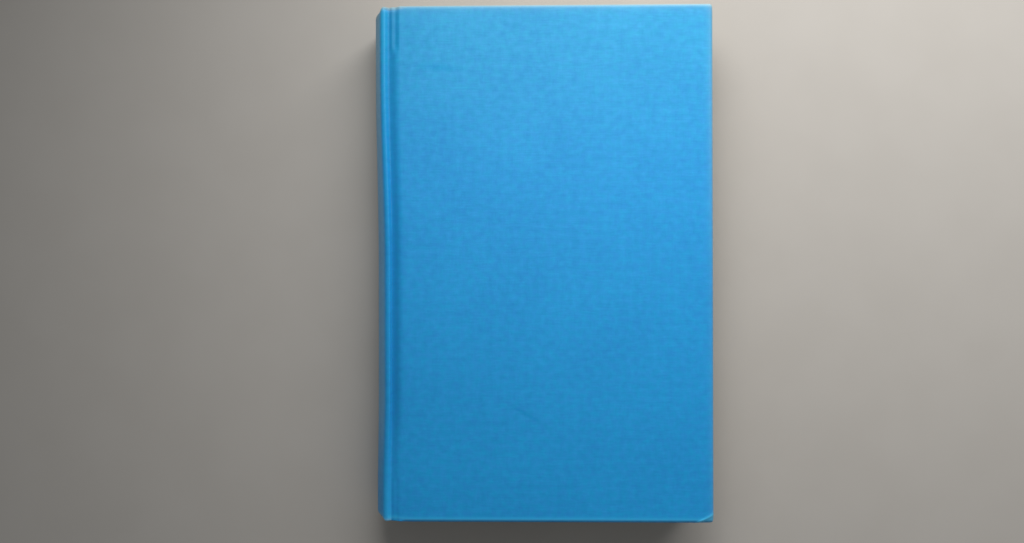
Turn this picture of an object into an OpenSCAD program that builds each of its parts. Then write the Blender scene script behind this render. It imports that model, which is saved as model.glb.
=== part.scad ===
// A clothbound hardback book, closed and lying on its back cover.
// The sewn pages have a rounded and backed spine, and hang in the case by the mull and the endpapers.
// +X points to the fore edge, +Y to the head and +Z up, and the origin is under the middle of the book.

/* [Pages] */
// Width of a page, from the backed shoulder to the fore edge
page_w = 135; // [110:1:160]
// Height of a page
page_h = 216; // [170:1:250]
// Thickness of the pressed pages
block_t = 23.4; // [18:0.2:30]
// Rise of the rounded spine above the chord between its shoulders
spine_round = 5.4; // [4.4:0.1:6]
// Height of each backed shoulder above the pages
shoulder_h = 1.8; // [1.4:0.1:2]
// Thickness of an endpaper
endpaper_t = 0.2; // [0.15:0.05:0.4]

/* [Covers] */
// Thickness of a cover board
board_t = 2.5; // [2.2:0.1:3.5]
// Thickness of the book cloth
cloth_t = 0.4; // [0.3:0.05:0.45]
// Overhang of the covers past the pages
square_w = 3; // [2:0.5:5]
// Width of the cloth turned in over the boards
turn_in = 15; // [12:1:20]
// Round on the edges of a covered board
edge_r = 0.9; // [0.7:0.1:1.1]
// Round on the fore-edge corners of a covered board, seen from above
corner_r = 1.3; // [1:0.1:3]

/* [Spine] */
// Thickness of the mull, the open-weave cloth that hinges the pages to the boards
mull_t = 0.3; // [0.2:0.05:0.4]
// Width of the mull glued under each board
mull_reach = 20; // [12:1:28]
// Thickness of the paper lining over the mull
lining_t = 0.2; // [0.1:0.05:0.4]
// Gap of the hollow back, between the lining and the card
hollow_gap = 0.8; // [0.6:0.1:1.2]
// Thickness of the card inside the spine
inlay_t = 1; // [0.7:0.1:1.3]
// Radius of a headband's rolled bead
bead_r = 1.1; // [0.7:0.1:1.4]
// Height of a headband's glued tape
tape_h = 9; // [6:1:14]

/* [Joints] */
// Radius of the ridge on each side of the spine
ridge_r = 1.6; // [1.4:0.1:1.8]
// Drop of the ridge below the cover's face
ridge_drop = 0.2; // [0.1:0.1:0.5]
// Lean of the ridge's wall from upright, in degrees
wall_lean = 30; // [22:1:36]
// Width of the groove's floor
groove_w = 3.4; // [1.6:0.1:5]

/* [Bumped corner] */
// Length of the dent along the tail edge
bump_x = 7; // [3:0.5:12]
// Length of the dent along the fore edge
bump_y = 3.5; // [3:0.5:12]
// Drop of the dent at the corner
bump_drop = 1.4; // [0.4:0.1:1.8]

/* [Hidden] */
$fn = 96;

// Levels above the middle of the thickness
block_half = block_t / 2;
tip_z = block_half + shoulder_h;
inner_z = block_half + 2 * endpaper_t;
half_t = inner_z + board_t + cloth_t;
groove_z = inner_z + mull_t + 2 * cloth_t;
ridge_z = half_t - ridge_drop - ridge_r;

// The spine's layers share one arc, struck through the tips of the shoulders
spine_r = (tip_z * tip_z + spine_round * spine_round) / (2 * spine_round);
arc_x = spine_r - spine_round;
mull_r = spine_r + mull_t;
lining_r = mull_r + lining_t;
inlay_r = lining_r + hollow_gap;
inlay_out_r = inlay_r + inlay_t;
case_r = inlay_out_r + cloth_t;
lining_angle = asin(tip_z / spine_r) - 3;
glue_t = 0.02;

// The ridge stands just proud of the spine's arc, and its wall clears the shoulder
proud = 0.06;
seam = 0.02;
fit_gap = 0.25;
ridge_reach = case_r - ridge_r + proud;
ridge_angle = asin(ridge_z / ridge_reach);
inlay_angle = ridge_angle - asin(cloth_t / case_r);
spine_ridge_x = arc_x - ridge_reach * cos(ridge_angle);
wall_clear = ridge_r - 2 * cloth_t - fit_gap;
joint_ridge_x = max(
  spine_ridge_x + 0.3,
  (sin(wall_lean) * (tip_z - ridge_z) - wall_clear) / cos(wall_lean)
);
shoulder_w = shoulder_h * tan(wall_lean);

// Distances from the chord between the shoulders
split_gap = 0.1;
hinge_x = foot_x(0) + groove_w / 2;
spine_split_x = hinge_x - split_gap / 2;
cover_split_x = hinge_x + split_gap / 2;
edge_x = foot_x(0) + groove_w;
board_x = edge_x + cloth_t;
plateau_x = board_x + edge_r;
fore_x = page_w + square_w;

cover_h = page_h + 2 * square_w;
plateau_h = cover_h - 2 * turn_in;
mull_h = plateau_h - 1;
shift_x = -(fore_x + arc_x - case_r) / 2;

cloth_colour = "#3091cf";
board_colour = "#a39c8f";
paper_colour = "#efe7d4";
mull_colour = "#e9e5da";
band_colour = "#e4ded0";

// Where the ridge's wall leaves the ridge, at a depth inside the cloth's face
function wall_top(depth) = [
  joint_ridge_x + (ridge_r - depth - seam) * cos(wall_lean),
  ridge_z + (ridge_r - depth - seam) * sin(wall_lean)
];

// Where the ridge's wall meets the groove's floor
function foot_x(depth) = joint_ridge_x
  + (ridge_r - depth - seam - (groove_z - depth - ridge_z) * sin(wall_lean)) / cos(wall_lean);

module in_place() {
  translate([shift_x, 0, half_t]) children();
}

module on_back() {
  mirror([0, 0, 1]) children();
}

module along_y(length) {
  rotate([90, 0, 0]) linear_extrude(length, center = true) children();
}

module along_x(length) {
  rotate([90, 0, 90]) linear_extrude(length) children();
}

module both_faces() {
  children();
  on_back() children();
}

// The outer end of a slice of a disc struck round the spine's arc
module sector(radius, half_angle, from_r) {
  upper = [-cos(half_angle), sin(half_angle)];
  lower = [-cos(half_angle), -sin(half_angle)];
  translate([arc_x, 0]) intersection() {
    circle(radius);
    polygon([from_r * upper, 2 * radius * upper, 2 * radius * lower, from_r * lower]);
  }
}

module spine_ring(inner_r, outer_r, half_angle) {
  difference() {
    sector(outer_r, half_angle, inner_r - 1);
    translate([arc_x, 0]) circle(inner_r);
  }
}

module rounded_bar(from, to, radius) {
  size = to - from;
  translate([from.x + radius, from.y]) square([size.x - 2 * radius, size.y]);
  translate([from.x, from.y + radius]) square([size.x, size.y - 2 * radius]);
  for (x = [from.x + radius, to.x - radius], y = [from.y + radius, to.y - radius])
    translate([x, y]) circle(radius);
}

// The case filled from groove to groove, at a depth inside the cloth's face
module case_core(length, depth, arc_r, right_x) {
  along_y(length) sector(arc_r, ridge_angle, ridge_reach - 1);
  both_faces() {
    for (x = [spine_ridge_x, joint_ridge_x])
      along_y(length) translate([x, ridge_z]) circle(ridge_r - depth);
    along_y(length) polygon([
      [spine_ridge_x, -1],
      [spine_ridge_x, ridge_z + ridge_r - depth - seam],
      [joint_ridge_x, ridge_z + ridge_r - depth - seam],
      wall_top(depth),
      [foot_x(depth), groove_z - depth],
      [right_x, groove_z - depth],
      [right_x, -1]
    ]);
  }
}

// The slope that the knock left across the tail corner of the front cover
module bump_cut(inset) {
  translate([fore_x - bump_x, -cover_h / 2, half_t])
    rotate([0, 0, atan2(bump_y, bump_x)])
      rotate([atan2(bump_drop, bump_x * sin(atan2(bump_y, bump_x))), 0, 0])
        translate([-20, -30, -inset]) cube([60, 30, 20]);
}

// A covered board's outer form, shrunk by an inset
module cover_blank(inset, bumped) {
  difference() {
    intersection() {
      along_y(cover_h)
        rounded_bar([edge_x + inset, inner_z + inset], [fore_x - inset, half_t - inset], edge_r - inset);
      along_x(2 * fore_x)
        rounded_bar(
          [inset - cover_h / 2, inner_z + inset],
          [cover_h / 2 - inset, half_t - inset],
          edge_r - inset
        );
      translate([0, 0, inner_z - 1]) linear_extrude(half_t - inner_z + 2)
        rounded_bar(
          [edge_x - 3 * corner_r, inset - cover_h / 2],
          [fore_x - inset, cover_h / 2 - inset],
          corner_r - inset
        );
    }
    if (bumped) bump_cut(inset);
  }
}

module mull_shape() {
  translate([cover_split_x, -mull_h / 2, inner_z])
    cube([board_x + mull_reach - cover_split_x, mull_h, mull_t]);
}

// The board is stepped inside, so that the cloth turned in over it lies flush under the endpaper
module board_shape(bumped) {
  cover_blank(cloth_t, bumped);
  translate([plateau_x, -plateau_h / 2, inner_z])
    cube([fore_x - turn_in - plateau_x, plateau_h, board_t / 2]);
}

// The cloth wraps the board on three sides, and runs on across the groove, doubled at head and tail
module cover_cloth_shape(bumped) {
  difference() {
    union() {
      cover_blank(0, bumped);
      translate([cover_split_x, -cover_h / 2, groove_z - cloth_t])
        cube([board_x - cover_split_x, cover_h, cloth_t]);
      for (y = [-cover_h / 2, plateau_h / 2])
        translate([cover_split_x, y, groove_z - 2 * cloth_t])
          cube([board_x - cover_split_x, turn_in, 2 * cloth_t]);
    }
    board_shape(bumped);
    translate([edge_x - 1, -plateau_h / 2, inner_z - 1])
      cube([plateau_x - edge_x + 1, plateau_h, groove_z - cloth_t - inner_z + 1]);
  }
}

module pastedown_shape() {
  translate([cover_split_x, -page_h / 2, inner_z - endpaper_t])
    cube([page_w - cover_split_x, page_h, endpaper_t]);
}

module flyleaf_shape() {
  translate([shoulder_w, -page_h / 2, block_half])
    cube([page_w - shoulder_w, page_h, endpaper_t]);
}

module inlay_shape() {
  along_y(cover_h - 2 * cloth_t) spine_ring(inlay_r, inlay_out_r, inlay_angle);
}

// Half a bead standing on the page ends, with the tape that glues it to the spine
module band_shape() {
  translate([arc_x, 0, 0]) rotate([-90, 0, 0]) rotate([0, 0, 180 - lining_angle])
    rotate_extrude(angle = 2 * lining_angle) {
      intersection() {
        translate([mull_r - 0.8 * bead_r, page_h / 2 + 0.35 * bead_r]) circle(bead_r);
        translate([spine_r - 3 * bead_r, page_h / 2]) square(6 * bead_r);
      }
      translate([spine_r + glue_t, page_h / 2 - tape_h]) square([mull_t - glue_t, tape_h + 0.35 * bead_r]);
    }
}

// The pages: straight leaves, a rounded spine spread into two shoulders, and a hollow fore edge
module text_block() {
  fore_arc_x = page_w + sqrt(spine_r * spine_r - block_half * block_half);
  color(paper_colour) in_place() along_y(page_h) difference() {
    union() {
      translate([0, -block_half]) square([page_w, block_t]);
      intersection() {
        translate([arc_x, 0]) circle(spine_r);
        polygon([
          [shoulder_w, -block_half],
          [shoulder_w, block_half],
          [-shoulder_w, block_half + 2 * shoulder_h],
          [-2 * spine_round, block_half + 2 * shoulder_h],
          [-2 * spine_round, -block_half - 2 * shoulder_h],
          [-shoulder_w, -block_half - 2 * shoulder_h]
        ]);
      }
    }
    translate([fore_arc_x, 0]) circle(spine_r);
  }
}

module front_flyleaf() {
  color(paper_colour) in_place() flyleaf_shape();
}

module back_flyleaf() {
  color(paper_colour) in_place() on_back() flyleaf_shape();
}

module spine_mull() {
  color(mull_colour) in_place()
    along_y(page_h - 2 * tape_h - 1) spine_ring(spine_r + glue_t, mull_r, lining_angle);
}

module spine_lining() {
  color(paper_colour) in_place()
    along_y(page_h - 4) spine_ring(mull_r + glue_t, lining_r, lining_angle);
}

module head_band() {
  color(band_colour) in_place() band_shape();
}

module tail_band() {
  color(band_colour) in_place() mirror([0, 1, 0]) band_shape();
}

module spine_inlay() {
  color(board_colour) in_place() inlay_shape();
}

// The cloth over the spine, with its ridges and half of each groove, turned in over the card's ends
module spine_cloth() {
  color(cloth_colour) in_place() difference() {
    case_core(cover_h, 0, case_r, spine_split_x);
    case_core(plateau_h, cloth_t, inlay_out_r, spine_split_x + 1);
    case_core(cover_h + 2, 2 * cloth_t, inlay_r - cloth_t, spine_split_x + 1);
    inlay_shape();
  }
}

module front_board() {
  color(board_colour) in_place() difference() {
    board_shape(true);
    mull_shape();
  }
}

module front_cloth() {
  color(cloth_colour) in_place() cover_cloth_shape(true);
}

module front_mull() {
  color(mull_colour) in_place() mull_shape();
}

module front_pastedown() {
  color(paper_colour) in_place() pastedown_shape();
}

module back_board() {
  color(board_colour) in_place() on_back() difference() {
    board_shape(false);
    mull_shape();
  }
}

module back_cloth() {
  color(cloth_colour) in_place() on_back() cover_cloth_shape(false);
}

module back_mull() {
  color(mull_colour) in_place() on_back() mull_shape();
}

module back_pastedown() {
  color(paper_colour) in_place() on_back() pastedown_shape();
}

text_block();
front_flyleaf();
back_flyleaf();
spine_mull();
spine_lining();
head_band();
tail_band();
spine_inlay();
spine_cloth();
front_board();
front_cloth();
front_mull();
front_pastedown();
back_board();
back_cloth();
back_mull();
back_pastedown();
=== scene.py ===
import math

import bpy
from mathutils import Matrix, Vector, noise


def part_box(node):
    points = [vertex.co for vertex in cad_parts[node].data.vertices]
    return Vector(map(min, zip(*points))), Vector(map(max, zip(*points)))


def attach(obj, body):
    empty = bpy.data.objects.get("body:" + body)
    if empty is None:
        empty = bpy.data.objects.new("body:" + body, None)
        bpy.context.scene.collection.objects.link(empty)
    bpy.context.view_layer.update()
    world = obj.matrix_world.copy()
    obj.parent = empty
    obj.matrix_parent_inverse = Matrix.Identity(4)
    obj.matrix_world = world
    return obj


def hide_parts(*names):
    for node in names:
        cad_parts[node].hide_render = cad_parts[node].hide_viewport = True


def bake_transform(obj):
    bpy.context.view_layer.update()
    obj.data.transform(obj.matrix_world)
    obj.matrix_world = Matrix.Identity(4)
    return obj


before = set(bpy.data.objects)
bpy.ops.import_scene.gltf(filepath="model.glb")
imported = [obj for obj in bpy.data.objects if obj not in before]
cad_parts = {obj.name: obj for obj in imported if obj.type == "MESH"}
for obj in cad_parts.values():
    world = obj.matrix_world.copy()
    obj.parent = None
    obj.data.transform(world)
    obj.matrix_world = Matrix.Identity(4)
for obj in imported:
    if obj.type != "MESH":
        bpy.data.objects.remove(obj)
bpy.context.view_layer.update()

# Pages: 21 gatherings of 8 cream leaves, folded, sewn and glued, then rounded and backed.
# Backing hammers the folds out into two shoulders, and rounding hollows the trimmed fore edge.
MM = 0.001


def mm_box(node):
    low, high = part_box(node)
    return low / MM, high / MM


block_low, block_high = mm_box("text_block")
fly_low, fly_high = mm_box("front_flyleaf")
middle_z = (block_low.z + block_high.z) / 2
page_h = block_high.y - block_low.y
tip_half = (block_high.z - block_low.z) / 2
block_half = fly_low.z - middle_z
wall_lean = math.radians(30)
fold_inset = 0.5
trim_slip = 0.09
leaf_columns = 18
fold_crowding = 4.0
shoulder_w = (tip_half - block_half) * math.tan(wall_lean)
spine_rise = fly_low.x - shoulder_w - block_low.x
spine_r = (tip_half ** 2 + spine_rise ** 2) / (2 * spine_rise)
arc_x = block_low.x + spine_r
fore_arc_x = fly_high.x + math.sqrt(spine_r ** 2 - block_half ** 2)


def add(tree, kind, feeds=(), **settings):
    """Adds a node with its settings and feeds, and gives its first output."""
    node = tree.nodes.new(kind)
    for name, value in settings.items():
        setattr(node, name, value)
    usable = [socket for socket in node.inputs if socket.enabled]
    for key, value in dict(feeds).items():
        named = (socket for socket in usable if socket.name == key)
        socket = node.inputs[key] if isinstance(key, int) else next(named)
        if isinstance(value, bpy.types.NodeSocket):
            tree.links.new(value, socket)
        else:
            socket.default_value = value
    return next((socket for socket in node.outputs if socket.enabled), node)


def calc(tree, operation, *values):
    return add(tree, "ShaderNodeMath", enumerate(values), operation=operation)


def ramp(tree, value, start, end, low=0.0, high=1.0, soft=True):
    feeds = {"Value": value, "From Min": start, "From Max": end, "To Min": low, "To Max": high}
    kind = "SMOOTHSTEP" if soft else "LINEAR"
    return add(tree, "ShaderNodeMapRange", feeds, interpolation_type=kind)


def speckle(tree, place, scale, detail=2.0, stretch=(1, 1, 1)):
    """Soft noise about 0 to 1, with its blots stretched along an axis by a small share."""
    place = add(tree, "ShaderNodeVectorMath", {0: place, 1: stretch}, operation="MULTIPLY")
    return add(tree, "ShaderNodeTexNoise", {"Vector": place, "Scale": scale, "Detail": detail})


def mix(tree, share, one, other):
    return add(tree, "ShaderNodeMix", {0: share, 6: one, 7: other}, data_type="RGBA")


def effect(name, inputs, outputs):
    """An empty shader group with named inputs and number outputs."""
    tree = bpy.data.node_groups.new(name, "ShaderNodeTree")
    for socket, kind in inputs.items():
        tree.interface.new_socket(socket, in_out="INPUT", socket_type="NodeSocket" + kind)
    for socket in outputs:
        tree.interface.new_socket(socket, in_out="OUTPUT", socket_type="NodeSocketFloat")
    return tree, tree.nodes.new("NodeGroupInput").outputs, tree.nodes.new("NodeGroupOutput").inputs


def new_material(name, roughness, **shader_settings):
    material = bpy.data.materials.new(name)
    material.use_nodes = True
    shader = material.node_tree.nodes["Principled BSDF"]
    shader.inputs["Roughness"].default_value = roughness
    for socket, value in shader_settings.items():
        shader.inputs[socket.replace("_", " ")].default_value = value
    return material, material.node_tree, shader


def bump(tree, shader, height, depth_mm):
    feeds = {"Height": height, "Distance": depth_mm * MM, "Strength": 1.0}
    tree.links.new(add(tree, "ShaderNodeBump", feeds), shader.inputs["Normal"])


fibre, given, gives = effect("paper fibre", {"Place": "Vector", "Fibre": "Float"}, ("Tone", "Height"))
fine = speckle(fibre, given["Place"], 900, 4)
strands = speckle(fibre, given["Place"], 420, 3, (1, 0.35, 1))
cloud = speckle(fibre, given["Place"], 24, 2)
strand_tone = calc(fibre, "MULTIPLY_ADD", strands, 0.5, calc(fibre, "MULTIPLY", fine, 0.5))
fibre_tone = calc(fibre, "MULTIPLY", calc(fibre, "SUBTRACT", strand_tone, 0.5), given["Fibre"])
tone = calc(fibre, "ADD", fibre_tone, cloud)
fibre.links.new(tone, gives["Tone"])
fibre.links.new(strand_tone, gives["Height"])


def paper(name, dark, light, fibre_share, depth_mm):
    """Paper or pasteboard: mottled between two tones, with its fibres standing a little proud."""
    material, tree, shader = new_material(name, 0.85, Specular_IOR_Level=0.25)
    place = add(tree, "ShaderNodeTexCoord").node.outputs["Object"]
    marks = add(tree, "ShaderNodeGroup", node_tree=fibre).node
    tree.links.new(place, marks.inputs["Place"])
    marks.inputs["Fibre"].default_value = fibre_share
    colour = mix(tree, ramp(tree, marks.outputs["Tone"], 0.25, 0.75), dark, light)
    tree.links.new(colour, shader.inputs["Base Color"])
    bump(tree, shader, marks.outputs["Height"], depth_mm)
    return material


def tinted(tree, colour, tint):
    feeds = {0: 1.0, 6: colour, 7: tint}
    return add(tree, "ShaderNodeMix", feeds, data_type="RGBA", blend_type="MULTIPLY")


page_paper = paper("page paper", (0.62, 0.52, 0.36, 1), (0.80, 0.72, 0.56, 1), 0.5, 0.02)
tree = page_paper.node_tree
shader = tree.nodes["Principled BSDF"]
page_colour = shader.inputs["Base Color"].links[0].from_socket
leaf_tone = add(tree, "ShaderNodeAttribute", attribute_name="leaf_tone").node.outputs["Fac"]
leaf_shade = mix(tree, leaf_tone, (0.80, 0.76, 0.68, 1), (1, 1, 1, 1))
tree.links.new(tinted(tree, page_colour, leaf_shade), shader.inputs["Base Color"])


def node_tree(name, inputs):
    """A Geometry Nodes tree with named inputs."""
    tree = bpy.data.node_groups.new(name, "GeometryNodeTree")
    tree.interface.new_socket("Geometry", in_out="OUTPUT", socket_type="NodeSocketGeometry")
    for socket, value in inputs.items():
        kind = "NodeSocketInt" if isinstance(value, int) else "NodeSocketFloat"
        tree.interface.new_socket(socket, in_out="INPUT", socket_type=kind)
    return tree, tree.nodes.new("NodeGroupInput").outputs


def plain_mesh(piece, sharp_angle=math.radians(40)):
    """Keeps what the modifiers make as the piece's own mesh."""
    evaluated = piece.evaluated_get(bpy.context.evaluated_depsgraph_get())
    made = bpy.data.meshes.new_from_object(evaluated)
    piece.modifiers.clear()
    piece.data = made
    made.polygons.foreach_set("use_smooth", [True] * len(made.polygons))
    made.set_sharp_from_angle(angle=sharp_angle)
    return piece


def grown(name, tree, inputs, shape, material):
    """Ends a tree in a material, and runs it once for a piece of that name."""
    dressed = add(tree, "GeometryNodeSetMaterial", {"Geometry": shape, "Material": material})
    add(tree, "NodeGroupOutput", {"Geometry": dressed})
    piece = bpy.data.objects.new(name, bpy.data.meshes.new(name))
    bpy.context.scene.collection.objects.link(piece)
    modifier = piece.modifiers.new(tree.name, "NODES")
    modifier.node_group = tree
    for item in tree.interface.items_tree:
        if item.in_out == "INPUT":
            modifier[item.identifier] = inputs[item.name]
    return plain_mesh(piece)


def finished(piece, slot, *nodes):
    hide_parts(*nodes)
    return piece


leaf_sizes = {
    "Gatherings": 21,
    "Leaves in each": 8,
    "Leaf fill": 0.8,
    "Gathering fill": 0.96,
    "Page height": page_h * MM,
    "Fold half height": (tip_half - fold_inset) * MM,
    "Flat half height": block_half * MM,
    "Rounding": spine_r * MM,
    "Backing": shoulder_w * MM,
    "Spine centre": arc_x * MM,
    "Fore edge centre": fore_arc_x * MM,
    "Middle": middle_z * MM,
    "Trim slip": trim_slip * MM,
    "Seed": 7,
}
leaves, given = node_tree("sewn leaves", leaf_sizes)
leaf_count = calc(leaves, "MULTIPLY", given["Gatherings"], given["Leaves in each"])
leaf_points = add(leaves, "GeometryNodePoints", {"Count": leaf_count})
numbered = add(
    leaves,
    "GeometryNodeStoreNamedAttribute",
    {"Geometry": leaf_points, "Name": "leaf", "Value": add(leaves, "GeometryNodeInputIndex")},
    data_type="FLOAT",
)
leaf_form = add(leaves, "GeometryNodeMeshCube", {"Size": (1, 1, 1), "Vertices X": leaf_columns})
stacked = add(leaves, "GeometryNodeInstanceOnPoints", {"Points": numbered, "Instance": leaf_form})
loose = add(leaves, "GeometryNodeRealizeInstances", {"Geometry": stacked})
leaf = add(leaves, "GeometryNodeInputNamedAttribute", {"Name": "leaf"}, data_type="FLOAT")
local = add(leaves, "ShaderNodeSeparateXYZ", {0: add(leaves, "GeometryNodeInputPosition")}).node.outputs
gathering = calc(leaves, "FLOOR", calc(leaves, "DIVIDE", leaf, given["Leaves in each"]))


def chance(number, low, high, step):
    seed = calc(leaves, "ADD", given["Seed"], step)
    feeds = {"Min": low, "Max": high, "ID": number, "Seed": seed}
    return add(leaves, "FunctionNodeRandomValue", feeds, data_type="FLOAT")


in_gathering = calc(leaves, "SUBTRACT", leaf, calc(leaves, "MULTIPLY", gathering, given["Leaves in each"]))
leaf_middle = calc(leaves, "ADD", in_gathering, 0.5)
leaf_side = calc(leaves, "MULTIPLY_ADD", local["Z"], given["Leaf fill"], leaf_middle)
leaf_share = calc(leaves, "SUBTRACT", calc(leaves, "DIVIDE", leaf_side, given["Leaves in each"]), 0.5)
gathering_middle = calc(leaves, "ADD", gathering, 0.5)
level = calc(leaves, "MULTIPLY_ADD", leaf_share, given["Gathering fill"], gathering_middle)
level = calc(leaves, "MULTIPLY_ADD", calc(leaves, "DIVIDE", level, given["Gatherings"]), 2.0, -1.0)
fold_z = calc(leaves, "MULTIPLY", level, given["Fold half height"])
flat_z = calc(leaves, "MULTIPLY", level, given["Flat half height"])


def arc_edge(centre, height):
    square = calc(leaves, "POWER", given["Rounding"], 2.0)
    square = calc(leaves, "SUBTRACT", square, calc(leaves, "POWER", height, 2.0))
    return calc(leaves, "SUBTRACT", centre, calc(leaves, "SQRT", square))


slip = calc(leaves, "ADD", chance(leaf, -0.5, 0.5, 1), chance(gathering, -0.5, 0.5, 2))
slip = calc(leaves, "MULTIPLY", slip, given["Trim slip"])
fore_slip = calc(leaves, "ADD", chance(leaf, 0.0, 0.5, 3), chance(gathering, 0.0, 0.5, 4))
fore_slip = calc(leaves, "MULTIPLY", fore_slip, given["Trim slip"])
fold_x = arc_edge(given["Spine centre"], fold_z)
trimmed_x = calc(leaves, "SUBTRACT", arc_edge(given["Fore edge centre"], flat_z), fore_slip)
out_share = calc(leaves, "POWER", calc(leaves, "ADD", local["X"], 0.5), fold_crowding)
out = calc(leaves, "MULTIPLY", out_share, calc(leaves, "SUBTRACT", trimmed_x, fold_x))
flat_share = ramp(leaves, out, 0.0, given["Backing"])
bent_z = calc(leaves, "MULTIPLY_ADD", calc(leaves, "SUBTRACT", flat_z, fold_z), flat_share, fold_z)
trim = calc(leaves, "MULTIPLY", given["Trim slip"], 2.0)
trimmed_h = calc(leaves, "SUBTRACT", given["Page height"], trim)
leaf_place = {
    "X": calc(leaves, "ADD", fold_x, out),
    "Y": calc(leaves, "MULTIPLY_ADD", local["Y"], trimmed_h, slip),
    "Z": calc(leaves, "ADD", bent_z, given["Middle"]),
}
toned = add(
    leaves,
    "GeometryNodeStoreNamedAttribute",
    {
        "Geometry": loose,
        "Name": "leaf_tone",
        "Value": calc(leaves, "ADD", chance(leaf, 0.0, 0.6, 5), chance(gathering, 0.0, 0.4, 6)),
    },
    data_type="FLOAT",
)
laid = add(
    leaves,
    "GeometryNodeSetPosition",
    {"Geometry": toned, "Position": add(leaves, "ShaderNodeCombineXYZ", leaf_place)},
)
pages = grown("pages", leaves, leaf_sizes, laid, page_paper)
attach(finished(pages, "pages", "text_block"), "book_block")

# Flyleaves: the free halves of the two endpapers, a heavier cream stock than the pages.
# Each is tipped on along the foot of its shoulder, and its other half is glued inside the cover.
endpaper = paper("endpaper", (0.70, 0.63, 0.50, 1), (0.77, 0.71, 0.59, 1), 0.7, 0.03)


def dress(material, *nodes):
    for node in nodes:
        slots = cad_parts[node].data.materials
        slots.clear()
        slots.append(material)


dress(endpaper, "front_flyleaf", "back_flyleaf")

# Mull: stiff open-weave cotton glued over the sewn folds, with flanges that run on under the boards.
# It carries the pages in the case, and a kraft paper lining is glued over it on the spine.
weave, given, gives = effect(
    "plain weave", {"Place": "Vector", "Pitch": "Float", "Slub": "Float"}, ("Height", "Tone")
)
waver = calc(weave, "MULTIPLY_ADD", speckle(weave, given["Place"], 1, 1, (0.05, 0.9, 1)), 0.9, -0.45)
thread_rate = calc(weave, "DIVIDE", math.pi, given["Pitch"])
thread = add(weave, "ShaderNodeVectorMath", {0: given["Place"], "Scale": thread_rate}, operation="SCALE")
across = add(weave, "ShaderNodeSeparateXYZ", {0: thread}).node.outputs
warp = calc(weave, "SINE", across["X"])
weft = calc(weave, "SINE", calc(weave, "ADD", across["Y"], waver))
crossing = calc(weave, "MULTIPLY", warp, weft)
weft_over = calc(weave, "ADD", calc(weave, "ABSOLUTE", weft), crossing)
warp_over = calc(weave, "SUBTRACT", calc(weave, "ABSOLUTE", warp), crossing)
threads = calc(weave, "MULTIPLY", calc(weave, "MAXIMUM", weft_over, warp_over), 0.5)
weft_slub = speckle(weave, given["Place"], 1, 3, (0.2, 1.4, 1))
warp_slub = speckle(weave, given["Place"], 1, 2, (1.2, 0.22, 1))
slub = calc(weave, "MULTIPLY_ADD", warp_slub, 0.35, calc(weave, "MULTIPLY", weft_slub, 0.65))
slub = calc(weave, "MULTIPLY", calc(weave, "SUBTRACT", slub, 0.5), given["Slub"])
weave.links.new(calc(weave, "ADD", threads, slub), gives["Height"])
weave.links.new(calc(weave, "ADD", calc(weave, "MULTIPLY_ADD", threads, 0.3, 0.35), slub), gives["Tone"])

mull_cotton, tree, shader = new_material("mull cotton", 0.9, Specular_IOR_Level=0.2)
mull_place = add(tree, "ShaderNodeTexCoord").node.outputs["Object"]
mull_place = add(tree, "ShaderNodeVectorMath", {0: mull_place, "Scale": 1 / MM}, operation="SCALE")
mull_weave = add(tree, "ShaderNodeGroup", node_tree=weave).node
tree.links.new(mull_place, mull_weave.inputs["Place"])
mull_weave.inputs["Pitch"].default_value = 0.9
mull_weave.inputs["Slub"].default_value = 0.3
mull_gap = ramp(tree, mull_weave.outputs["Height"], 0.2, 0.6)
mull_colour = mix(tree, mull_gap, (0.30, 0.25, 0.18, 1), (0.74, 0.70, 0.60, 1))
tree.links.new(mull_colour, shader.inputs["Base Color"])
bump(tree, shader, mull_weave.outputs["Height"], 0.15)
dress(mull_cotton, "spine_mull", "front_mull", "back_mull")

kraft = paper("kraft lining", (0.30, 0.20, 0.11, 1), (0.46, 0.33, 0.20, 1), 1.2, 0.04)
dress(kraft, "spine_lining")

# Headbands: a thread wound closely over a cord core, bought as woven strip and cut to the spine's width.
# The strip's tape is glued to the spine, so that the bead sits over the ends of the pages.
band_thread, tree, shader = new_material("headband thread", 0.55, Sheen_Weight=0.3)
band_place = add(tree, "ShaderNodeTexCoord").node.outputs["Object"]
band_tone = speckle(tree, band_place, 1400, 2)
band_colour = mix(tree, ramp(tree, band_tone, 0.3, 0.7), (0.58, 0.52, 0.40, 1), (0.80, 0.75, 0.63, 1))
tree.links.new(band_colour, shader.inputs["Base Color"])
bump(tree, shader, band_tone, 0.03)

band_low, band_high = mm_box("head_band")
mull_low, mull_high = mm_box("spine_mull")
mull_out_r = arc_x - mull_low.x
bead_r = 0.72
thread_r = 0.2
tape_share = 0.9
bead_rise = band_high.y - bead_r - thread_r
band_angle = math.asin((mull_high.z - middle_z) / mull_out_r)
band_sizes = {
    "Bead path radius": (mull_out_r - bead_r - thread_r) * MM,
    "Tape radius": (spine_r + mull_out_r) / 2 * MM,
    "Tape thickness": (mull_out_r - spine_r) * tape_share * MM,
    "Tape height": (bead_rise - band_low.y) * MM,
    "Half angle": band_angle,
    "Threads": 62,
    "Core radius": bead_r * MM,
    "Thread radius": thread_r * MM,
}
band, given = node_tree("wound headband", band_sizes)
band_start = calc(band, "SUBTRACT", math.pi, given["Half angle"])
band_sweep = calc(band, "MULTIPLY", given["Half angle"], 2.0)


def band_arc(radius):
    feeds = {"Resolution": 48, "Radius": radius, "Start Angle": band_start, "Sweep Angle": band_sweep}
    return add(band, "GeometryNodeCurveArc", feeds)


def ring(radius, steps):
    return add(band, "GeometryNodeCurvePrimitiveCircle", {"Resolution": steps, "Radius": radius})


def swept(path, profile):
    feeds = {"Curve": path, "Profile Curve": profile, "Fill Caps": True}
    return add(band, "GeometryNodeCurveToMesh", feeds)


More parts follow.
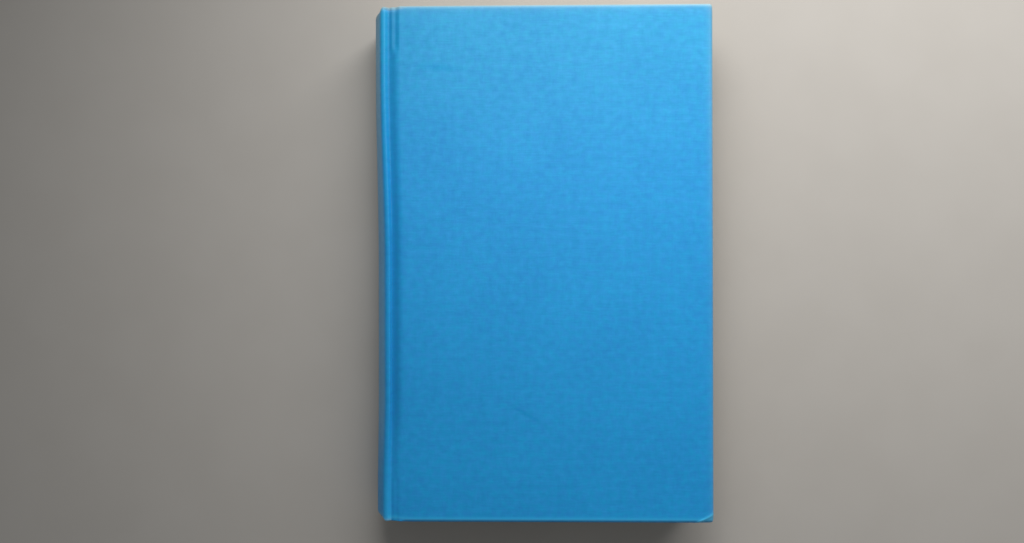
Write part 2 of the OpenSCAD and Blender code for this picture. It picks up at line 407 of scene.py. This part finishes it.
bead_path = band_arc(given["Bead path radius"])
core = swept(bead_path, ring(given["Core radius"], steps=12))
winding = add(band, "GeometryNodeCurveToPoints", {"Curve": bead_path, "Count": given["Threads"]})
winding = winding.node.outputs
turn = swept(ring(given["Core radius"], steps=14), ring(given["Thread radius"], steps=6))
turns = add(
    band,
    "GeometryNodeInstanceOnPoints",
    {"Points": winding["Points"], "Instance": turn, "Rotation": winding["Rotation"]},
)
tape_form = add(
    band,
    "GeometryNodeCurvePrimitiveQuadrilateral",
    {"Width": given["Tape thickness"], "Height": given["Tape height"]},
)
tape = swept(band_arc(given["Tape radius"]), tape_form)
tape_drop = add(band, "ShaderNodeCombineXYZ", {"Z": calc(band, "MULTIPLY", given["Tape height"], -0.5)})
tape = add(band, "GeometryNodeTransform", {"Geometry": tape, "Translation": tape_drop})
band_parts = add(band, "GeometryNodeJoinGeometry", {"Geometry": core})
for part in (turns, tape):
    band.links.new(part, band_parts.node.inputs["Geometry"])
band_whole = add(band, "GeometryNodeRealizeInstances", {"Geometry": band_parts})
head_band = grown("headband_head", band, band_sizes, band_whole, band_thread)
tail_band = bpy.data.objects.new("headband_tail", head_band.data.copy())
bpy.context.scene.collection.objects.link(tail_band)
for piece, side, node in ((head_band, 1, "head_band"), (tail_band, -1, "tail_band")):
    for point in piece.data.vertices:
        x, up, rise = point.co
        point.co = (x + arc_x * MM, side * (rise + bead_rise * MM), up * side + middle_z * MM)
    piece.data.flip_normals()
    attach(finished(piece, "headband", node), "book_block")

# Case boards: two grey pasteboards and a strip of card for the spine, cut a little larger than the pages.
# They lie inside the cloth, and the spine card stands off the lining as a hollow back.
# Use has bowed the card along its length, so that its head stands out and its middle has sunk.
pasteboard = paper("grey pasteboard", (0.23, 0.21, 0.18, 1), (0.42, 0.39, 0.34, 1), 1.6, 0.06)
dress(pasteboard, "front_board", "back_board")

spine_low, spine_high = mm_box("spine_cloth")
front_low, front_high = mm_box("front_cloth")
board_low, board_high = mm_box("front_board")
card_low, card_high = mm_box("spine_inlay")
cloth_t = front_high.z - board_high.z
case_r = arc_x - spine_low.x
card_r = arc_x - card_low.x
card_t = 1
card_gap = 0.03
card_inset = 0.06
card_steps = 40
crest_z = spine_high.z
ridge_bow = (-1.5, 0.6, -0.4)
belly_bow = (-0.4, 0.7, 0.3)
head_recess = (0.5, 3.0)
tail_recess = (0.5, 2.4)
head_reach = (0, 85)
tail_reach = (55, 100)


def span(start, end, steps, first=0):
    return [start + (end - start) * i / steps for i in range(first, steps + 1)]


def smooth(value, start, end):
    share = min(1.0, max(0.0, (value - start) / (end - start)))
    return share * share * (3 - 2 * share)


def along(y, at_head, in_middle, at_tail):
    """A measure that changes along the book, from its values at the head, in the middle and at the tail."""
    towards_head = (at_head - in_middle) * smooth(y, *head_reach)
    towards_tail = (at_tail - in_middle) * smooth(-y, *tail_reach)
    return in_middle + towards_head + towards_tail


def on_circle(centre_x, centre_z, radius, angle):
    return Vector((centre_x + radius * math.cos(angle), centre_z + radius * math.sin(angle)))


def ridge_share(spot):
    """How near a spot of the spine is to the ridges: 0 in the middle of the spine, 1 on their crests."""
    return ((spot.y - middle_z) / (crest_z - middle_z)) ** 2


def bowed(spot, y):
    """Where the bow has moved a spot of the spine to: the ridges have moved more than its middle."""
    belly = along(y, *belly_bow)
    return Vector((spot.x + belly + (along(y, *ridge_bow) - belly) * ridge_share(spot), spot.y))


def end_spaced(limit, steps, power=2.2):
    """Places from -limit to limit that crowd together towards both ends."""
    shares = span(-1, 1, steps)
    return [math.copysign(1 - (1 - abs(share)) ** power, share) * limit for share in shares]


def grid_faces(rows, columns):
    corners = [row * columns + column for row in range(rows - 1) for column in range(columns - 1)]
    return [(corner, corner + columns, corner + columns + 1, corner + 1) for corner in corners]


def sheet_piece(name, points, faces, thickness, material):
    """A surface in mm, given its thickness on its inner side."""
    mesh = bpy.data.meshes.new(name)
    mesh.from_pydata([Vector(point) * MM for point in points], [], faces)
    mesh.materials.append(material)
    piece = bpy.data.objects.new(name, mesh)
    bpy.context.scene.collection.objects.link(piece)
    wall = piece.modifiers.new("thickness", "SOLIDIFY")
    wall.thickness = thickness * MM
    wall.offset = -1
    return piece


card_half = math.asin((card_high.z - middle_z) / card_r) - card_inset
card_angles = span(math.pi - card_half, math.pi + card_half, card_steps)
card_rows = span(card_low.y + max(tail_recess), card_high.y - max(head_recess), card_steps)
card_points = []
for y in card_rows:
    for angle in card_angles:
        spot = bowed(on_circle(arc_x, middle_z, card_r - card_gap, angle), y)
        card_points.append((spot.x, y, spot.y))
card_faces = grid_faces(len(card_rows), len(card_angles))
spine_card = plain_mesh(sheet_piece("spine_card", card_points, card_faces, card_t, pasteboard))
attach(finished(spine_card, "board", "spine_inlay"), "book_block")

# Spine cloth: the middle of one sheet of fine blue linen, glued over the card and drawn up into two ridges.
# It is turned in over the card at head and tail, and runs on into the covers at the foot of each ridge.
cover_half = front_high.y
cover_z = front_high.z
hinge_x = (spine_high.x + front_low.x) / 2
edge_x = board_low.x - cloth_t
foot_x = 2 * hinge_x - edge_x
spine_turn_in = 19
end_roll = 1.3
glue_t = 0.05
hem_t = 2 * cloth_t + glue_t
spine_hem_t = 2 * cloth_t + card_t
card_edge = (card_half - 0.03, card_half + 0.04)
ridge_r = 2.6
groove_place = (foot_x - 2.3, foot_x - 0.95, foot_x - 1.3)
groove_level = (cover_z - 1.6, cover_z - 1.85, cover_z - 0.8)
groove_steps = 9
ridge_steps = 9
back_steps = 26
recess_reach = 14
recess_end = edge_x + 3
pinch_place = 1.1
pinch_width = 0.55
pinch_depth = 0.4
ripple_across = 9
ripple_along = 22
ripple_seed = 3.1
ripple_depth = 0.09
cloth_crease = math.radians(55)
roll_steps = 8
hem_steps = 10
spine_steps = 84

quarter = math.pi / 2
ridge_reach = case_r - ridge_r
ridge_angle = math.asin((crest_z - ridge_r - middle_z) / ridge_reach)
ridge_end = math.pi - ridge_angle
ridge_x = arc_x - ridge_reach * math.cos(ridge_angle)
ridge_angles = span(quarter, ridge_end, ridge_steps)
back_angles = span(ridge_end, math.pi, back_steps, 1)
back_spots = [on_circle(ridge_x, crest_z - ridge_r, ridge_r, angle) for angle in ridge_angles]
back_spots += [on_circle(arc_x, middle_z, case_r, angle) for angle in back_angles]


def groove_foot(y):
    return Vector((along(y, *groove_place), along(y, *groove_level)))


def spine_path(y):
    """The cloth's outer line from the front groove over the ridges and round to the back groove."""
    foot = groove_foot(y)
    rise = bowed(back_spots[0], y) - foot
    shares = span(0, 1, groove_steps)[:-1]
    path = [foot + Vector((rise.x * share, rise.y * smooth(share, 0, 1))) for share in shares]
    path += [bowed(spot, y) for spot in back_spots]
    return path + [Vector((spot.x, 2 * middle_z - spot.y)) for spot in reversed(path[:-1])]


def path_lengths(path):
    lengths = [0.0]
    for one, other in zip(path, path[1:]):
        lengths.append(lengths[-1] + (other - one).length)
    return lengths


def thread_start(y):
    """Where the weave's count stands at the groove, counted from the middle of the spine."""
    return path_lengths(spine_path(0))[-1] / 2 + groove_foot(y).x - groove_foot(0).x


def recess(x, y, at_ridge=1.0):
    """How far the ends of the spine and of the grooves sit back from the ends of the covers."""
    ridge_depth, belly_depth = head_recess if y > 0 else tail_recess
    depth = belly_depth + (ridge_depth - belly_depth) * at_ridge
    depth *= 1 - smooth(x, foot_x, recess_end)
    return math.copysign(depth, y) * smooth(abs(y), cover_half - recess_reach, cover_half)


def near_line(distance, place, width):
    """1 along a line at its place beside an edge, fading out on both sides of it."""
    return math.exp(-((distance - place) / width) ** 2)


def pinch(x, y):
    """How far the cloth is drawn in behind the turned edge at the head, beside the ridge."""
    near_head = near_line(cover_half - y, pinch_place, pinch_width)
    past_ridge = smooth(x, ridge_x - 2.5, ridge_x - 1)
    before_board = 1 - smooth(x, foot_x - 1, edge_x)
    return pinch_depth * near_head * past_ridge * before_board


def ripple(length, y):
    """How far the glued cloth falls short of its full level, a little unevenly over the spine."""
    wave = noise.noise(Vector((length / ripple_across, y / ripple_along, ripple_seed)))
    return ripple_depth * (wave - 1) / 2


def cloth_piece(name, points, faces, weave_places, rub, painted_light):
    """A sheet of book cloth that keeps where its threads run, where it is rubbed, and where highlight or
    shade is painted on it.
    """
    piece = sheet_piece(name, points, faces, cloth_t, book_cloth)
    layer = piece.data.uv_layers.new(name="weave")
    layer.data.foreach_set("uv", [value * MM for place in weave_places for value in place])
    piece.data.attributes.new("rub", "FLOAT", "POINT").data.foreach_set("value", rub)
    piece.data.attributes.new("painted_light", "FLOAT", "POINT").data.foreach_set("value", painted_light)
    return plain_mesh(piece, cloth_crease)


deep_blue = (0.001, 0.255, 0.615, 1)
light_blue = (0.007, 0.39, 0.772, 1)
# The third and fourth blues are lit and shaded copies of the cloth's blue, used for painted light.
highlight_blue = (0.023, 0.485, 0.86, 1)
shade_blue = (0.001, 0.19, 0.425, 1)
bared_thread = (0.30, 0.49, 0.55, 1)
untinted = (1, 1, 1, 1)
painted_dent_shade = (0.5, 0.91, 0.92, 1)
green_tint = (0.3, 1.02, 0.98, 1)
red_tint = (1.9, 0.98, 1.02, 1)
tail_shade_tint = (1, 1, 1.045, 1)
head_light_tint = (1, 1, 0.915, 1)
blot_share = 0.85
haze_share = 0.5
dent_roughness = 0.35
book_cloth, tree, shader = new_material("blue book cloth", 0.56, Specular_IOR_Level=0.46, Sheen_Weight=0.06)
thread_place = add(tree, "ShaderNodeUVMap", uv_map="weave")
thread_place = add(tree, "ShaderNodeVectorMath", {0: thread_place, "Scale": 1 / MM}, operation="SCALE")
linen = add(tree, "ShaderNodeGroup", node_tree=weave).node
tree.links.new(thread_place, linen.inputs["Place"])
linen.inputs["Pitch"].default_value = 0.48
linen.inputs["Slub"].default_value = 0.88
blots = speckle(tree, thread_place, 0.3, 3)
haze = speckle(tree, thread_place, 0.03, 2)
dye = calc(tree, "MULTIPLY_ADD", calc(tree, "SUBTRACT", blots, 0.5), blot_share, linen.outputs["Tone"])
dye = calc(tree, "MULTIPLY_ADD", calc(tree, "SUBTRACT", haze, 0.5), haze_share, dye)
blue = mix(tree, ramp(tree, dye, 0.0, 1.0, soft=False), deep_blue, light_blue)
hue = ramp(tree, speckle(tree, thread_place, 0.35, 2), 0.3, 0.7)
blue = tinted(tree, blue, mix(tree, hue, green_tint, red_tint))
# Painted light: the blue is cut a little towards the head, where the lamp falls brightest, and raised
# towards the tail.
toward_head = add(tree, "ShaderNodeSeparateXYZ", {0: thread_place}).node.outputs["Y"]
painted_light_share = ramp(tree, toward_head, 25, 112)
blue = tinted(tree, blue, mix(tree, painted_light_share, tail_shade_tint, head_light_tint))


def dent_mark(centre_x, centre_y, half_length, half_width, lean, strength):
    """Where the front cover has a faint shallow dent: 0 outside it, and its strength along its middle."""
    feeds = {
        "Vector": thread_place,
        "Location": (thread_start(0) + centre_x - groove_foot(0).x, centre_y, 0),
        "Rotation": (0, 0, math.radians(lean)),
        "Scale": (half_length, half_width, 1),
    }
    local = add(tree, "ShaderNodeMapping", feeds, vector_type="TEXTURE")
    reach = add(tree, "ShaderNodeVectorMath", {0: local}, operation="LENGTH")
    return ramp(tree, reach, 1.0, 0.0, 0.0, strength)


tail_dent = dent_mark(-6, -64.9, half_length=17, half_width=1.7, lean=-30, strength=1.0)
head_dent = dent_mark(-44, 84.2, half_length=14, half_width=3, lean=-5, strength=0.4)
dents = calc(tree, "ADD", tail_dent, head_dent)
# Painted shade: the dents are not shaped in the cloth; their shade is a darker tint, and they are a little
# rougher there.
blue = tinted(tree, blue, mix(tree, dents, untinted, painted_dent_shade))
# Painted light: painted highlight where the attribute is above 0, painted shade where it is below 0.
painted_light = add(tree, "ShaderNodeAttribute", attribute_name="painted_light").node.outputs["Fac"]
highlighted = mix(tree, painted_light, blue, highlight_blue)
shaded = mix(tree, calc(tree, "MULTIPLY", painted_light, -1.0), highlighted, shade_blue)
rubbed = add(tree, "ShaderNodeAttribute", attribute_name="rub").node.outputs["Fac"]
nap = calc(tree, "MULTIPLY_ADD", speckle(tree, thread_place, 1.3, 3), 0.9, -0.45)
worn = calc(tree, "ADD", rubbed, calc(tree, "MULTIPLY", nap, calc(tree, "MINIMUM", rubbed, 0.5)))
bared = mix(tree, ramp(tree, worn, 0.0, 1.0, soft=False), shaded, bared_thread)
tree.links.new(bared, shader.inputs["Base Color"])
thread_gloss = ramp(tree, dye, 0.0, 1.0, 0.62, 0.5)
roughened = calc(tree, "MULTIPLY_ADD", dents, dent_roughness, thread_gloss)
tree.links.new(roughened, shader.inputs["Roughness"])
bump(tree, shader, linen.outputs["Height"], 0.05)

fray_start = 0.4
fray_width = 0.6
tail_fray = 0.45
rim_place = 1.7
rim_width = 0.8
rim_highlight = 0.5
crest_shine = 0.07
head_shine = 0.22
tail_shine = 0.3
spine_greying = (0.52, 0.38, 0.05)
# Painted shade: the cloth is darkened along the grooves, most towards the head and not at the tail.
groove_shade = (0.33, 0.42, 0.0)


def frayed(from_end):
    """How far the threads are bared along a turned edge."""
    return math.exp(-max(0.0, from_end - fray_start) / fray_width)


def crest_highlight(y):
    """How much painted highlight the crests of the ridges get, most of all near the head and the tail."""
    return crest_shine + head_shine * smooth(y, 88, 106) + tail_shine * smooth(-y, 80, 108)


turn_steps = span(0, math.pi, roll_steps)
hem_ends = span(cover_half - spine_turn_in, cover_half - end_roll, hem_steps)
spine_rows = [(-1, y, math.pi) for y in hem_ends] + [(-1, None, angle) for angle in reversed(turn_steps)]
spine_rows += [(0, y, 0.0) for y in end_spaced(cover_half - end_roll, spine_steps)]
spine_rows += [(1, None, angle) for angle in turn_steps] + [(1, y, math.pi) for y in reversed(hem_ends)]
spine_points = []
spine_weave = []
spine_rub = []
spine_painted_light = []
for side, flat_y, turn_angle in spine_rows:
    row_y = side * cover_half if side else flat_y
    path = spine_path(row_y)
    lengths = path_lengths(path)
    half_length = lengths[-1] / 2
    thread_scale = thread_start(row_y) / half_length
    for index, spot in enumerate(path):
        ahead = path[min(index + 1, len(path) - 1)]
        behind = path[max(index - 1, 0)]
        tangent = (ahead - behind).normalized()
        outward = Vector((tangent.y, -tangent.x))
        arc_angle = abs(math.atan2(spot.y - middle_z, arc_x - spot.x))
        over_card = 1 - smooth(arc_angle, *card_edge)
        roll = (hem_t + (spine_hem_t - hem_t) * over_card) / 2
        end = cover_half - roll
        inside = roll * (1 - math.cos(turn_angle))
        if side == 0:
            y = flat_y
            wrap = y
        elif flat_y is None:
            y = side * (end + roll * math.sin(turn_angle))
            wrap = side * (end + roll * turn_angle)
        else:
            y = side * flat_y
            wrap = side * (end + roll * turn_angle + end - flat_y)
        uneven = ripple(lengths[index], y) if side == 0 else 0
        drawn_in = pinch(spot.x, y) if side == 0 else 0
        at = spot + outward * (uneven - inside - drawn_in)
        from_groove = min(index, len(path) - 1 - index)
        below_crest = crest_z - middle_z - abs(spot.y - middle_z)
        on_back = from_groove >= groove_steps
        at_ridge = (ridge_share(spot) + 1 - smooth(below_crest, 0, 1.2)) / 2 if on_back else 1.0
        spine_points.append((at.x, y - recess(spot.x, y, at_ridge), at.y))
        spine_weave.append(((half_length - lengths[index]) * thread_scale, wrap))
        from_end = cover_half - abs(y) if inside < roll else 0
        # The back of the spine is given greyer, paler thread colour away from the crests, most towards the
        # head.
        greyed = along(y, *spine_greying) * smooth(below_crest, 0.3, 2.5) if on_back else 0
        end_wear = (1.0 if y > 0 else tail_fray) * frayed(from_end)
        spine_rub.append(min(1.0, end_wear + greyed))
        # painted highlight along the ridges' crests
        painted_highlight = crest_highlight(y) * near_line(below_crest, 0, 1)
        # painted highlight: a lighter line along the tail's turned edge, beside the grooves
        rim = rim_highlight * near_line(from_end, rim_place, rim_width) if y < 0 and not on_back else 0
        # painted shade darkening the cloth in the groove
        painted_shade = along(y, *groove_shade) * (1 - smooth(from_groove / groove_steps, 0, 0.45))
        spine_painted_light.append(painted_highlight + rim - painted_shade)
spine_faces = grid_faces(len(spine_rows), len(spine_path(0)))
corner_weave = [spine_weave[index] for face in spine_faces for index in face]
spine_piece = cloth_piece("cloth_spine", spine_points, spine_faces, corner_weave, spine_rub, spine_painted_light)
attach(finished(spine_piece, "cloth", "spine_cloth"), "book_block")

# Cover cloth: the two sides of the same sheet, pressed into the grooves and glued over the boards.
# It is turned in 15 mm round the inside, and the front cover's tail corner has been knocked down.
inner_z = front_low.z
fore_x = front_high.x
fine_x = fore_x - 12
turn_in = 15
hem_slack = 0.01
hem_edge_x = fore_x - turn_in - hem_slack
hem_edge_y = cover_half - turn_in - hem_slack
edge_r = 1.6
edge_share = 0.55
inner_edge_r = 0.9
inner_edge_share = 0.31
corner_r = 1.3
corner_reach = 6
bump_x = 8
bump_y = 4.2
bump_drop = 0.6
crease_rise = 0.2
board_place = (edge_x - 0.5, edge_x + 1.2, edge_x - 0.6)
groove_columns = 18
groove_round = 0.08
level_off = 0.4
hem_y = cover_half - spine_turn_in
hem_show = (1.0, 0, 0.5)
first_step = 0.45
broad_wave = 34
broad_seed = 1.7
short_wave = 8
short_seed = 5.2
short_share = 0.3
full_wave = 1 + short_share
wave_depth = 0.05
edge_steps = 8
board_columns = 56
fine_columns = 24
cover_steps = 116


def groove_rise(share):
    """The cloth's rise at a share of the way from the groove to the board, rounded off at both ends."""
    rounded = math.hypot(share, groove_round) - groove_round
    eased = rounded / (math.hypot(1, groove_round) - groove_round)
    left = 1 - level_off
    return (eased - max(0.0, eased - level_off) ** 2 / (2 * left)) / (1 - left / 2)


def hem_rise(share):
    """The same rise over the spine's hem, which the cloth climbs in two steps."""
    return first_step * smooth(share, 0, 0.3) + (1 - first_step) * smooth(share, 0.5, 0.95)


def cover_section(y):
    """The cloth's outer and inner lines from the groove to the fore edge, at one place along the cover."""
    foot = groove_foot(y)
    rise = Vector((along(y, *board_place), cover_z)) - foot
    hemmed = smooth(abs(y), hem_y - 1, hem_y + 1) * along(y, *hem_show)
    top = []
    for share in span(0, 1, groove_columns):
        plain = groove_rise(share)
        lift = plain + (hem_rise(share) - plain) * hemmed
        top.append(foot + Vector((rise.x * share, rise.y * lift)))
    top += [Vector((x, cover_z)) for x in span(top[-1].x, fine_x, board_columns, 1)]
    top += [Vector((x, cover_z)) for x in span(fine_x, fore_x - edge_r, fine_columns, 1)]
    under = []
    for spot in top:
        in_groove = 1 - smooth(spot.x, edge_x - 0.2, edge_x + 1.5)
        under.append(Vector((spot.x, inner_z + (spot.y - hem_t - inner_z) * in_groove)))
    for angle in span(quarter, 0, edge_steps, 1):
        top.append(on_circle(fore_x - edge_r, cover_z - edge_r, edge_r, angle))
        under.append(on_circle(fore_x - inner_edge_r, inner_z + inner_edge_r, inner_edge_r, -angle))
    return top, under


round_steps = span(0, quarter, edge_steps, 1)
cover_rows = [(-1, angle) for angle in reversed(round_steps)]
cover_rows += [(0, y) for y in end_spaced(cover_half - edge_r, cover_steps, power=2.6)]
cover_rows += [(1, angle) for angle in round_steps]
fold_start = Vector((fore_x - bump_x, -cover_half))
fold_along = Vector((bump_x, bump_y)).normalized()
fold_out = Vector((fold_along.y, -fold_along.x))
fold_soft = 0.35
fold_reach = (Vector((fore_x, -cover_half)) - fold_start).dot(fold_out)
fold_slope = bump_drop / (fold_reach - fold_soft / 2)


def knocked(x, y):
    """How far a spot is past the corner's fold, how far it is pushed down, and its share along the fold."""
    from_start = Vector((x, y)) - fold_start
    past = from_start.dot(fold_out)
    share = min(1.0, max(0.0, from_start.dot(fold_along) / math.hypot(bump_x, bump_y)))
    if past <= 0:
        return past, 0.0, share
    if past < fold_soft:
        return past, fold_slope * past * past / (2 * fold_soft), share
    return past, fold_slope * (past - fold_soft / 2), share


def corner_inset(x, from_end):
    """How far the rounding of the cover's corners draws a spot in from the fore edge."""
    cut = max(0.0, corner_r - from_end)
    inset = corner_r - math.sqrt(corner_r ** 2 - cut ** 2)
    pull = max(0.0, (x - fore_x + corner_reach) / corner_reach)
    return inset * pull * pull


def swell(x, y):
    """How far the glued cloth falls short of its full level, in slight waves over the board."""
    wave = noise.noise(Vector((x / broad_wave, y / broad_wave, broad_seed)))
    wave += short_share * noise.noise(Vector((x / short_wave, y / short_wave, short_seed)))
    return wave_depth * (wave - full_wave) / (full_wave + 1)


head_rub = 0.1
tail_rub = 0.12
tail_highlight = 0.5
fore_rub = 0.3
fore_rub_gain = 0.4
head_corner_rub = 0.4
tail_corner_rub = 0.1
crease_rub = 0.06
crease_highlight = 1.2
fold_painted_light = 0.4


def fading(distance, width):
    """1 at an edge, fading out away from it."""
    return math.exp(-distance / width)


def edge_wear(y, from_end, from_fore):
    """How far the cloth is bared near the cover's edges, and its painted highlight along the tail edge."""
    if y > 0:
        worn = frayed(from_end) + head_rub * fading(from_end, width=2.5)
        painted_highlight = 0.0
    else:
        worn = tail_rub * near_line(from_end, place=1.1, width=0.5)
        # painted highlight: a lighter line along the tail edge's rounding
        painted_highlight = tail_highlight * near_line(from_end, place=1.8, width=0.75)
    worn += (fore_rub + fore_rub_gain * smooth(y, -20, 70)) * fading(from_fore, width=0.9)
    corner_rub = head_corner_rub if y > 0 else tail_corner_rub
    worn += corner_rub * fading(math.hypot(from_end, from_fore), width=1.6)
    return worn, painted_highlight


def cover_skin(knock):
    """A cover's cloth as points, faces, weave places, wear and painted light, open inside where no cloth is
    turned in.
    """
    points, places, rub, painted_light = [], [], [], []
    sections = [cover_section(side * cover_half if side else where) for side, where in cover_rows]
    for above in (True, False):
        radius, depth_share = (edge_r, edge_share) if above else (inner_edge_r, inner_edge_share)
        for (side, where), (top, under) in zip(cover_rows, sections):
            threads = path_lengths(top)
            first_thread = thread_start(side * cover_half if side else where)
            for index, spot in enumerate(top if above else under):
                roll = min(radius, depth_share * (top[index].y - under[index].y))
                y = where if side == 0 else side * (cover_half - roll * (1 - math.sin(where)))
                drop = 0.0 if side == 0 else roll * (1 - math.cos(where))
                from_end = cover_half - abs(y)
                from_fore = fore_x - spot.x
                x = spot.x - corner_inset(spot.x, from_end)
                z = spot.y - drop if above else spot.y + drop
                if above and side == 0:
                    z -= pinch(spot.x, y)
                if above:
                    z += swell(x, y)
                # painted shade darkening the cloth in the groove, before the board
                painted_shade = along(y, *groove_shade) * (1 - smooth(index / groove_columns, 0.3, 0.85))
                worn, painted_highlight = edge_wear(y, from_end, from_fore)
                if knock:
                    past, push, share = knocked(x, y)
                    crease = near_line(past, place=0.1 + 0.3 * share, width=0.35 + 0.4 * share)
                    beyond = smooth(past, 0, 0.5)
                    z -= push
                    z += crease_rise * crease if above else 0
                    worn += crease_rub * (crease + beyond)
                    # Painted light: a highlight along the fold's crease, and lighter colour on the facet,
                    # which faces away from the lamp.
                    painted_highlight += crease_highlight * crease + fold_painted_light * beyond
                points.append((x, y - recess(spot.x, y), z))
                rub.append(min(1.0, worn))
                painted_light.append(painted_highlight - painted_shade)
                end_wrap = 0.0 if side == 0 else side * roll * (where - math.sin(where))
                wrap = y + end_wrap if above else (2 * cover_half * (1 if y > 0 else -1) - y)
                places.append((first_thread + threads[index], wrap))
    across = len(sections[0][0])
    sheet = across * len(cover_rows)
    faces, weave_places = [], []

    def cover_face(*corners):
        faces.append(corners)
        weave_places.extend(places[index] for index in corners)

    for row in range(len(cover_rows) - 1):
        for column in range(across - 1):
            corner = row * across + column
            cover_face(corner, corner + 1, corner + across + 1, corner + across)
            under = [sheet + index for index in (corner, corner + across, corner + across + 1, corner + 1)]
            turned = all(abs(points[index][1]) > hem_edge_y for index in under)
            turned = turned or all(points[index][0] > hem_edge_x for index in under)
            if turned:
                cover_face(*under)
        fore = row * across + across - 1
        cover_face(fore, sheet + fore, sheet + fore + across, fore + across)
    last = (len(cover_rows) - 1) * across
    for column in range(across - 1):
        cover_face(column, sheet + column, sheet + column + 1, column + 1)
        head = last + column
        cover_face(head, head + 1, sheet + head + 1, sheet + head)
    return points, faces, weave_places, rub, painted_light


def turned_over(points, faces, weave_places, *wear):
    """The same skin for the back cover, mirrored through the middle of the book."""
    mirrored = [(x, y, 2 * middle_z - z) for x, y, z in points]
    flipped = [tuple(reversed(face)) for face in faces]
    start = 0
    flipped_places = []
    for face in faces:
        flipped_places.extend(reversed(weave_places[start:start + len(face)]))
        start += len(face)
    return mirrored, flipped, [(-u, v) for u, v in flipped_places], *wear


def bend_over(piece):
    """Bakes the piece's placement into its mesh."""
    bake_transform(piece)


front_piece = cloth_piece("cloth_front_cover", *cover_skin(True))
back_piece = cloth_piece("cloth_back_cover", *turned_over(*cover_skin(False)))
bend_over(finished(front_piece, "cloth", "front_cloth"))
bend_over(finished(back_piece, "cloth", "back_cloth"))

# Pastedowns: the glued halves of the endpapers, from the fold in the gutter nearly to the cover's edges.
# The edges of the turned-in cloth and of the mull show through them as faint steps.
flange_x = mm_box("front_mull")[1].x
paste_low, paste_high = mm_box("front_pastedown")
paste_t = paste_high.z - paste_low.z
paste_gap = 0.01
gutter_x = edge_x + 1.5
step_w = 0.6
sink_depth = 0.14
flange_rise = 0.08
cockle_size = 25
cockle_seed = 8.3
cockle_depth = 0.02
gutter_columns = 16
paste_steps = 90
paste_columns = span(fly_low.x, gutter_x, gutter_columns) + span(gutter_x, paste_high.x, paste_steps, 1)
paste_rows = end_spaced(paste_high.y, paste_steps, power=1.6)
paste_points = []
for y in paste_rows:
    for x in paste_columns:
        window = 1 - smooth(x, fore_x - turn_in - step_w, fore_x - turn_in)
        window *= 1 - smooth(abs(y), cover_half - turn_in - step_w, cover_half - turn_in)
        window *= smooth(x, edge_x + 0.5, gutter_x)
        flange = 1 - smooth(x, flange_x - 0.5, flange_x)
        cockle = cockle_depth * (1 + noise.noise(Vector((x / cockle_size, y / cockle_size, cockle_seed))))
        sink = sink_depth - flange_rise * flange + cockle
        paste_points.append((x, y, paste_low.z + paste_gap + window * sink))
paste_faces = grid_faces(len(paste_rows), len(paste_columns))
back_points = [(x, y, 2 * middle_z - z) for x, y, z in paste_points]
back_faces = [tuple(reversed(face)) for face in paste_faces]
front_paste = plain_mesh(sheet_piece("pastedown_front", paste_points, paste_faces, paste_t, endpaper))
back_paste = plain_mesh(sheet_piece("pastedown_back", back_points, back_faces, paste_t, endpaper))
bend_over(finished(front_paste, "endpaper", "front_pastedown"))
bend_over(finished(back_paste, "endpaper", "back_pastedown"))

# Floor: a plain pale ground under the book, wide enough to fill the main view.
# It is only there to take the book's shadow.
floor_half = 4
floor_gap = 0.0001
floor_mesh = bpy.data.meshes.new("floor")
floor_signs = ((-1, -1), (1, -1), (1, 1), (-1, 1))
floor_corners = [(x * floor_half, y * floor_half, -floor_gap) for x, y in floor_signs]
floor_mesh.from_pydata(floor_corners, [], [(0, 1, 2, 3)])
floor = bpy.data.objects.new("floor", floor_mesh)
bpy.context.scene.collection.objects.link(floor)
floor_paint, tree, shader = new_material("pale floor", 0.8, Specular_IOR_Level=0.2)
floor_place = add(tree, "ShaderNodeTexCoord").node.outputs["Object"]
floor_tone = ramp(tree, speckle(tree, floor_place, 30, 3), 0.3, 0.7)
floor_colour = mix(tree, floor_tone, (0.472, 0.442, 0.402, 1), (0.484, 0.454, 0.414, 1))
tree.links.new(floor_colour, shader.inputs["Base Color"])
floor_mesh.materials.append(floor_paint)

# Light and camera: one soft lamp beyond the head and to the right, a dim even sky, and a view from above.
# The lens and height give the perspective in which the spine just shows past the cover.
lamp = bpy.data.lights.new("window", "AREA")
lamp.shape = "RECTANGLE"
lamp.size = 0.83
lamp.size_y = 0.28
lamp.energy = 4.14
lamp_object = bpy.data.objects.new("window", lamp)
lamp_object.location = (0.265, 0.402, 0.307)
lamp_aim = Vector((0.559, -0.068, 0)) - lamp_object.location
lamp_object.rotation_euler = lamp_aim.to_track_quat("-Z", "Y").to_euler()
bpy.context.scene.collection.objects.link(lamp_object)
sky = bpy.data.worlds.new("sky")
sky.use_nodes = True
sky.node_tree.nodes["Background"].inputs["Color"].default_value = (0.9, 0.95, 1.0, 1)
sky.node_tree.nodes["Background"].inputs["Strength"].default_value = 0.188
bpy.context.scene.world = sky

camera = bpy.data.cameras.new("camera")
camera.sensor_width = 36
camera.lens = 32.66
camera_object = bpy.data.objects.new("camera", camera)
camera_object.location = (-0.0049, -0.0050, 0.4276)
camera_object.rotation_euler = [math.radians(angle) for angle in (0.217, 1.152, -0.087)]
bpy.context.scene.collection.objects.link(camera_object)
bpy.context.scene.camera = camera_object
bpy.context.scene.view_settings.view_transform = "Standard"
